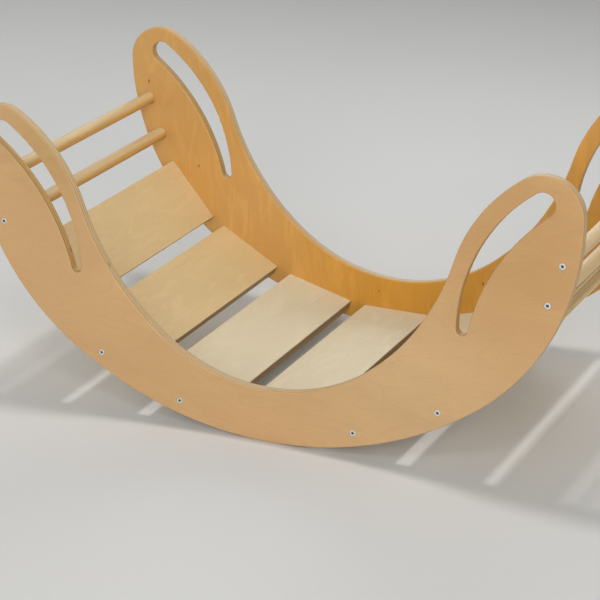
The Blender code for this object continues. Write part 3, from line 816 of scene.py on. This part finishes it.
def beech_dowel(finishes):
    """Turned beech, lacquered: even and fine, with the short dark flecks that beech always shows."""
    material, tree = empty_material("turned_beech")
    board = add(tree, "Attribute", attribute_name="board").outputs["Vector"]
    place, parts = millimetres(tree, board)
    tint = tuple(finishes.beech)
    # Bands of tone 120 mm long and 6 mm wide, grain lines, and flecks 3 mm long. Lines and flecks are drawn
    # 1.3 mm and 0.7 mm wide, coarser than real ones, to show
    tone, _ = layer(tree, place, tint, shaded(tint, 0.90, warmth=1.4), (120, 6, 6), low=0.35, high=0.68,
                    distortion=0.3)
    tone, grain = layer(tree, place, tone, shaded(tint, 0.82, warmth=1.5), (60, 1.3, 1.3), low=0.5, high=0.76,
                        strength=0.5)
    tone, _ = layer(tree, place, tone, shaded(tint, 0.62, warmth=1.4), (3.0, 0.7, 0.7), low=0.66, high=0.76,
                    strength=0.5, detail=0.0)
    # Painted shade and bounced warm light: one side redder, from 5 mm to 10 mm off the middle
    red = add(tree, "MapRange", {"Value": parts["Y"], "From Min": 5.0, "From Max": 10.0},
              interpolation_type="SMOOTHSTEP")
    tone = add(tree, "Mix", {0: red, 6: tone, 7: tuple(finishes.painted_bounce_light)}, data_type="RGBA",
               blend_type="MULTIPLY")
    rough = add(tree, "MapRange", {"Value": grain, "To Min": 0.50, "To Max": 0.42})
    finish_material(tree, tone, rough, LACQUER, grain)
    return material


def zinc_plating(name, tint, roughness):
    """Bright zinc plating on a cold-formed steel screw: a pale, slightly cloudy metal."""
    material, tree = empty_material(name)
    place, _ = millimetres(tree, add(tree, "TexCoord").outputs["Object"])
    # Cloudy places, 2.5 mm across, are a little darker and rougher
    tone, clouds = layer(tree, place, tint, shaded(tint, 0.88), (2.5, 2.5, 2.5), low=0.35, high=0.7)
    rough = add(tree, "MapRange", {"Value": clouds, "To Min": roughness, "To Max": roughness + 0.12})
    finish_material(tree, tone, rough, {"Metallic": 1.0})
    return material


def painted_floor(studio):
    """Pale matt paint on a smooth floor, with painted shade: darker behind the rocker, where light falls off.
    """
    material, tree = empty_material("matt_floor_paint")
    place, parts = millimetres(tree, add(tree, "TexCoord").outputs["Object"])
    # Painted shade: it turns darker from 1.05 m to 3.5 m behind the rocker's middle
    far = add(tree, "MapRange", {"Value": parts["Y"], "From Min": 1050.0, "From Max": 3500.0},
              interpolation_type="SMOOTHSTEP")
    tone = add(tree, "Mix", {0: far, 6: tuple(studio.floor_colour), 7: tuple(studio.far_floor_shade)},
               data_type="RGBA")
    # Faint cloudiness, 500 mm across
    dull = add(tree, "Mix", {0: 1.0, 6: tone, 7: (0.985, 0.985, 0.985)}, data_type="RGBA",
               blend_type="MULTIPLY").outputs[2]
    tone, _ = layer(tree, place, tone, dull, (500, 500, 500), low=0.35, high=0.65)
    # Beyond the picture, from 3.2 m to 5.5 m out, the floor fades away
    fade = spot(tree, place, (0, 0, 0), (1, 1, 1), near=3200.0, far=5500.0, peak=1.0)
    finish_material(tree, tone, 0.85, {"Specular IOR Level": 0.2, "Alpha": fade})
    return material


# Operators

class ROCKER_OT_side_panels(bpy.types.Operator):
    """Build the two crescent side panels, with their hand slots, pockets and countersunk holes"""

    bl_idname = "rocker.side_panels"
    bl_label = "Side panels"

    def execute(self, context):
        rocker = context.scene.rocker
        finishes = rocker.finishes
        veneers = (tuple(finishes.outer_veneer), tuple(finishes.inner_veneer))
        # The front panel was cut with its grain along the rocker, and the rear panel's grain stands upright
        for name, side, along, across, figure, knots, voids, tone_patches in (
                ("front", -1, (1, 0, 0), (0, 0, 1), QUIET_FIGURE, FRONT_KNOTS, FRONT_VOIDS, FRONT_TONE_PATCHES),
                ("rear", 1, (0, 0, 1), (1, 0, 0), FLAME_FIGURE, REAR_KNOTS, (), REAR_PAINTED_LIGHT)):
            materials = [plywood(f"birch_plywood_{name}_{part}", finishes, veneers, PANEL_THICKNESS,
                                 PANEL_PLIES, figure, PANEL_RINGS, knots, voids, tone_patches, wash)
                         for part, wash in (("panel", WHITE), ("slots", tuple(finishes.routed)))]
            panel = side_panel(rocker, Outline(rocker.panels), name, side)
            middle = side * (OVERALL_WIDTH - PANEL_THICKNESS) / 2
            write_board(panel, (0, middle, 0), along, across, (0, side, 0))
            finish_piece(panel, f"side_panel_{name}", materials)
        return {"FINISHED"}


def side_panel(rocker, outline, name, side):
    """One side panel: bands round its outline and slots, holes and pockets, and its two flat faces."""
    sizes = rocker.bars
    outer = side * OVERALL_WIDTH / 2
    inner = outer - side * PANEL_THICKNESS
    floor = inner + side * sizes.pocket_depth
    over = quarter(rocker.panels.edge_rounding, PANEL_EDGE_STEPS, True)
    under = quarter(rocker.panels.edge_rounding, PANEL_EDGE_STEPS, False)
    profile = np.concatenate((np.column_stack((over[:, 0], outer - side * over[:, 1])),
                              np.column_stack((under[:, 0], inner + side * under[:, 1]))))
    skin = Skin()
    outer_rims = []
    inner_rims = []
    slot = hand_slot(outline, rocker.slots)
    for path in (outline.loop(), slot, mirrored(slot)):
        surface = carried(path, profile)
        skin.grid(surface)
        outer_rims.append(surface[:, 0])
        inner_rims.append(surface[:, -1])

    holes = {}
    for point, bar_name in screw_seats(outline, sizes):
        bore = hole_profile(rocker.screws, sizes, outer, floor, side)
        hole = carried(circle(point, 0.0, SCREW_SIDES), bore)
        skin.grid(hole)
        outer_rims.append(hole[:, 0])
        holes[bar_name] = hole[:, -1]

    gap = 2 * sizes.clearance
    pockets = {}
    for number, (point, heading) in slat_seats(outline, sizes, sizes.slat_thickness / 2).items():
        pockets[number] = bar_section(point, heading, sizes.slat_width + gap, sizes.slat_thickness + gap,
                                      sizes.slat_rounding + sizes.clearance)
    for rung, point in rung_seats(outline, sizes).items():
        pockets[rung] = circle(point, sizes.rung_diameter / 2 + sizes.clearance, RUNG_POCKET_SIDES)
    for bar_name, path in pockets.items():
        pocket = carried(path, np.array(((0.0, inner), (0.0, floor))))
        skin.grid(pocket)
        inner_rims.append(pocket[:, 0])
        skin.patch(pocket[:, 1], *([holes[bar_name]] if bar_name in holes else []))
    skin.patch(*outer_rims)
    skin.patch(*inner_rims)
    panel = skin.object(f"panel_{name}")
    # The slots' walls and their round-overs get the panel's second material
    centres = places(panel.data.polygons, "center")[:, ::2]
    starts = slot[0] - SLOT_MARGIN * rocker.panels.edge_rounding * slot[1]
    ends = np.roll(starts, -1, axis=0)
    routed = enclosed(centres, starts, ends) | enclosed(centres * np.array((-1.0, 1.0)), starts, ends)
    panel.data.polygons.foreach_set("material_index", routed.astype(np.int32))
    return panel


def hole_profile(screws, sizes, outer, floor, side):
    """Countersunk hole's profile about its axis, a clearance wider than the screw all along."""
    head = screws.head_diameter / 2 + sizes.clearance
    shank = screws.shank_diameter / 2 + sizes.clearance
    rows = [(-radius, outer - side * depth) for radius, depth in (
        (head, 0.0), (head, screws.recess + screws.head_edge), (shank, screws.recess + screws.head_cone))]
    return np.array(rows + [(-shank, floor)])


class ROCKER_OT_slats(bpy.types.Operator):
    """Build the row of flat slats"""

    bl_idname = "rocker.slats"
    bl_label = "Slats"

    def execute(self, context):
        rocker = context.scene.rocker
        sizes = rocker.bars
        materials = {}
        for place in ("slat", "end_slat"):
            tint = tuple(getattr(rocker.finishes, f"{place}_veneer"))
            materials[place] = plywood(f"birch_plywood_{place}", rocker.finishes, (tint, tint),
                                       sizes.slat_thickness, SLAT_PLIES, SLAT_FIGURE, SLAT_RINGS)
        seats = slat_seats(Outline(rocker.panels), sizes, sizes.slat_thickness / 2)
        for number, (point, heading) in seats.items():
            section = bar_section(point, heading, sizes.slat_width, sizes.slat_thickness, sizes.slat_rounding)
            slat = bar(f"plywood_slat_{number}", section, sizes)
            write_bar_board(slat, point, ray(heading), ray(heading + 90), SLAT_GRAIN_STEP * number)
            place = "slat" if END_SLATS < number <= sizes.slat_count - END_SLATS else "end_slat"
            finish_piece(slat, f"slat_{number}", [materials[place]])
        return {"FINISHED"}


def bar(name, section, sizes):
    """Slat or rung: its section carried from one pocket's floor to the other, with chamfered ends."""
    half = OVERALL_WIDTH / 2 - PANEL_THICKNESS + sizes.pocket_depth - sizes.clearance
    chamfer = sizes.end_chamfer
    profile = np.array(((chamfer, -half), (0.0, chamfer - half), (0.0, half - chamfer), (chamfer, half)))
    surface = carried(section, profile)
    skin = Skin()
    skin.grid(surface)
    skin.patch(surface[:, 0])
    skin.patch(surface[:, -1])
    return skin.object(name)


class ROCKER_OT_rungs(bpy.types.Operator):
    """Build the round rungs at both ends"""

    bl_idname = "rocker.rungs"
    bl_label = "Rungs"

    def execute(self, context):
        rocker = context.scene.rocker
        sizes = rocker.bars
        material = beech_dowel(rocker.finishes)
        for order, (place, point) in enumerate(rung_seats(Outline(rocker.panels), sizes).items()):
            rung = bar(f"beech_rung_{place}", circle(point, sizes.rung_diameter / 2, RUNG_SIDES), sizes)
            # Its redder side, painted shade and warm light bounced from the wood, faces the cradle
            inward = np.array((-np.sign(point[0]), 1.0))
            write_bar_board(rung, point, inward * ray(-BOUNCE_SIDE_DROP), inward * ray(90 - BOUNCE_SIDE_DROP),
                            RUNG_GRAIN_STEP * order)
            finish_piece(rung, f"rung_{place}", [material])
        return {"FINISHED"}


class ROCKER_OT_screws(bpy.types.Operator):
    """Build the countersunk furniture screws, with hexagon sockets and threads"""

    bl_idname = "rocker.screws"
    bl_label = "Screws"

    def execute(self, context):
        rocker = context.scene.rocker
        sizes = rocker.bars
        outline = Outline(rocker.panels)
        plated = zinc_plating("bright_zinc_plating", tuple(rocker.finishes.zinc), 0.48)
        # The second material is darker zinc, painted shade for the inside of the sockets
        painted_shade_zinc = zinc_plating("dark_zinc_in_socket", tuple(rocker.finishes.socket), 0.5)
        for name, side in (("front", -1), ("rear", 1)):
            for number, (point, _) in enumerate(screw_seats(outline, sizes), start=1):
                screw = furniture_screw(f"socket_screw_{name}_{number}", rocker.screws, point, side)
                finish_piece(screw, f"screw_{name}_{number}", [plated, painted_shade_zinc])
        return {"FINISHED"}


def furniture_screw(name, screws, point, side):
    """Turned screw about Y: head, shank, thread and point, with a hexagon socket in its head.

    The thread's radius at angle a and depth y is the core's, plus the thread's height times a triangle
    wave of y / pitch + a / one turn, cut off below nothing.
    """
    face = side * (OVERALL_WIDTH / 2 - screws.recess)
    head = screws.head_diameter / 2
    shank = screws.shank_diameter / 2
    core = screws.core_diameter / 2
    rim = screws.rim_rounding
    thread_start = PANEL_THICKNESS
    thread_end = screws.overall - screws.point_length
    rounded = quarter(rim, SCREW_RIM_STEPS, True)
    radii = [head - inset for inset in rounded[:, 0]] + [head, shank, shank, core]
    depths = list(rounded[:, 1]) + [screws.head_edge, screws.head_cone, thread_start - SHOULDER, thread_start]
    rows = math.ceil((thread_end - thread_start) / screws.thread_pitch * THREAD_ROWS)
    thread_depths = np.linspace(thread_start, thread_end, rows + 1)[1:]
    turns = np.arange(SCREW_SIDES) / SCREW_SIDES
    wave = (thread_depths[None, :] / screws.thread_pitch + side * turns[:, None]) % 1.0
    ridge = np.clip(1 - np.abs(wave - 0.5) * RIDGE_SLOPE, 0, 1)
    # The crests start and end gently, over one pitch
    from_ends = np.minimum(thread_depths - thread_start, thread_end - thread_depths)
    ease = np.clip(from_ends / screws.thread_pitch, 0, 1)
    height = (screws.thread_diameter - screws.core_diameter) / 2
    threaded = core + height * ridge * ease[None, :]
    plain = np.broadcast_to(np.array(radii), (SCREW_SIDES, len(radii)))
    blunt = np.full((SCREW_SIDES, 1), core * BLUNT_END)
    radius = np.concatenate((plain, threaded, blunt), axis=1)
    depth = np.concatenate((depths, thread_depths, [screws.overall]))
    surface = placed(point + radius[..., None] * ray(turns * 360)[:, None, :], face - side * depth)

    skin = Skin()
    skin.grid(surface)
    skin.patch(surface[:, -1])
    corner = screws.socket_width / math.sqrt(3)
    bottom = face - side * (screws.socket_depth + corner * SOCKET_CONE_DEPTH)
    hexagon = circle(point, corner, 6)
    mouth = np.array(((-rim, face), (0.0, face - side * rim), (0.0, face - side * screws.socket_depth)))
    walls = carried(hexagon, mouth)
    skin.grid(walls)
    tip = carried(hexagon, np.array(((corner * SOCKET_CONE_INSET, bottom),)))
    skin.grid(np.concatenate((walls[:, -1:], tip), axis=1))
    skin.patch(tip[:, 0])
    skin.patch(surface[:, 0], walls[:, 0])
    screw = skin.object(name)
    # The socket's walls and floor get the screw's second material, darker zinc that is painted shade in the
    # socket. Nothing else lies as near the axis within a corner's radius below them
    centres = places(screw.data.polygons, "center")
    reach = np.hypot(centres[:, 0] - point[0], centres[:, 2] - point[1])
    below = (face - centres[:, 1]) * side
    socket = (reach < corner) & (below > rim) & (below < screws.socket_depth + corner)
    screw.data.polygons.foreach_set("material_index", socket.astype(np.int32))
    return screw


class ROCKER_OT_studio(bpy.types.Operator):
    """Build the pale floor, the soft studio light and the camera"""

    bl_idname = "rocker.studio"
    bl_label = "Studio"

    def execute(self, context):
        studio = context.scene.rocker.studio
        scene = context.scene
        floor_mesh = bpy.data.meshes.new("studio_floor")
        rim = circle(np.zeros(2), studio.floor_radius, FLOOR_SIDES)[0]
        floor_mesh.from_pydata(np.column_stack((rim, np.zeros(FLOOR_SIDES))), [], [list(range(FLOOR_SIDES))])
        floor = bpy.data.objects.new("studio_floor", floor_mesh)
        scene.collection.objects.link(floor)
        floor_mesh.materials.append(painted_floor(studio))

        world = bpy.data.worlds.new("studio_sky")
        world.use_nodes = True
        tree = world.node_tree
        tree.nodes.clear()
        # Soft light that falls from the horizon's level to the zenith's with the sine of the height
        height = add(tree, "SeparateXYZ", {0: add(tree, "TexCoord").outputs["Generated"]})
        level = add(tree, "MapRange", {"Value": height.outputs["Z"], "To Min": studio.horizon,
                                       "To Max": studio.zenith})
        light = add(tree, "Background", {"Color": WHITE, "Strength": level})
        pale = add(tree, "Background", {"Color": tuple(studio.sky_colour), "Strength": 1.0})
        path = add(tree, "LightPath").outputs
        seen = add(tree, "Math", {0: path["Is Camera Ray"], 1: path["Is Transmission Ray"]},
                   operation="MAXIMUM")
        seen = add(tree, "Math", {0: seen, 1: path["Is Glossy Ray"]}, operation="MAXIMUM")
        both = add(tree, "MixShader", {0: seen, 1: light, 2: pale})
        add(tree, "OutputWorld", {"Surface": both})
        scene.world = world

        overhead = (studio.lamp_offset, studio.lamp_setback, studio.lamp_height)
        for name, shape, power, size, place, target in (
                ("overhead_lamp", "DISK", studio.lamp_power, studio.lamp_size, overhead, (0.0, 0.0, 0.0)),
                ("front_fill", "SQUARE", studio.fill_power, studio.fill_size, FILL_PLACE, LAMP_TARGET),
                ("high_key", "SQUARE", studio.key_power, studio.key_size, KEY_PLACE, LAMP_TARGET),
                ("back_fill", "SQUARE", studio.back_power, studio.back_size, BACK_PLACE, LAMP_TARGET)):
            lamp = bpy.data.lights.new(name, "AREA")
            lamp.energy = power
            lamp.size = size
            lamp.shape = shape
            seat = bpy.data.objects.new(name, lamp)
            seat.location = place
            seat.rotation_euler = (Vector(target) - Vector(place)).to_track_quat("-Z", "Y").to_euler()
            seat.visible_camera = False
            scene.collection.objects.link(seat)

        azimuth = studio.camera_azimuth
        elevation = studio.camera_elevation
        forward = Vector((-math.sin(azimuth) * math.cos(elevation), math.cos(azimuth) * math.cos(elevation),
                          -math.sin(elevation)))
        camera = bpy.data.cameras.new("camera")
        camera.lens = studio.camera_lens
        camera.sensor_width = FILM_WIDTH_MM
        camera.dof.use_dof = False
        seat = bpy.data.objects.new("camera", camera)
        seat.location = CAMERA_TARGET - studio.camera_distance * forward
        turn = forward.to_track_quat("-Z", "Y").to_matrix() @ Matrix.Rotation(studio.camera_roll, 3, "Z")
        seat.rotation_euler = turn.to_euler()
        scene.collection.objects.link(seat)
        scene.camera = seat
        scene.view_settings.view_transform = "Standard"
        return {"FINISHED"}


class ROCKER_PT_sidebar(bpy.types.Panel):
    """Sidebar panel that lists the rocker's settings and pieces"""

    bl_label = "Balance rocker"
    bl_idname = "ROCKER_PT_sidebar"
    bl_space_type = "VIEW_3D"
    bl_region_type = "UI"
    bl_category = "Rocker"

    def draw(self, context):
        rocker = context.scene.rocker
        for operator in OPERATORS:
            self.layout.operator(operator.bl_idname)
        for name in ("panels", "slots", "bars", "screws", "finishes", "studio"):
            group = getattr(rocker, name)
            box = self.layout.box()
            for key in group.bl_rna.properties.keys():
                if key not in ("rna_type", "name"):
                    box.prop(group, key)


GROUPS = (RockerPanelSizes, RockerSlotSizes, RockerBarSizes, RockerScrewSizes, RockerFinishes, RockerStudio,
          RockerSettings)
OPERATORS = (ROCKER_OT_side_panels, ROCKER_OT_slats, ROCKER_OT_rungs, ROCKER_OT_screws, ROCKER_OT_studio)
CLASSES = GROUPS + OPERATORS + (ROCKER_PT_sidebar,)


def register():
    for each in CLASSES:
        bpy.utils.register_class(each)
    bpy.types.Scene.rocker = PointerProperty(type=RockerSettings)


def unregister():
    del bpy.types.Scene.rocker
    for each in reversed(CLASSES):
        bpy.utils.unregister_class(each)


def main():
    """Registers the classes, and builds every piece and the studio."""
    register()
    bpy.ops.rocker.side_panels()
    bpy.ops.rocker.slats()
    bpy.ops.rocker.rungs()
    bpy.ops.rocker.screws()
    bpy.ops.rocker.studio()


if __name__ == "__main__":
    main()
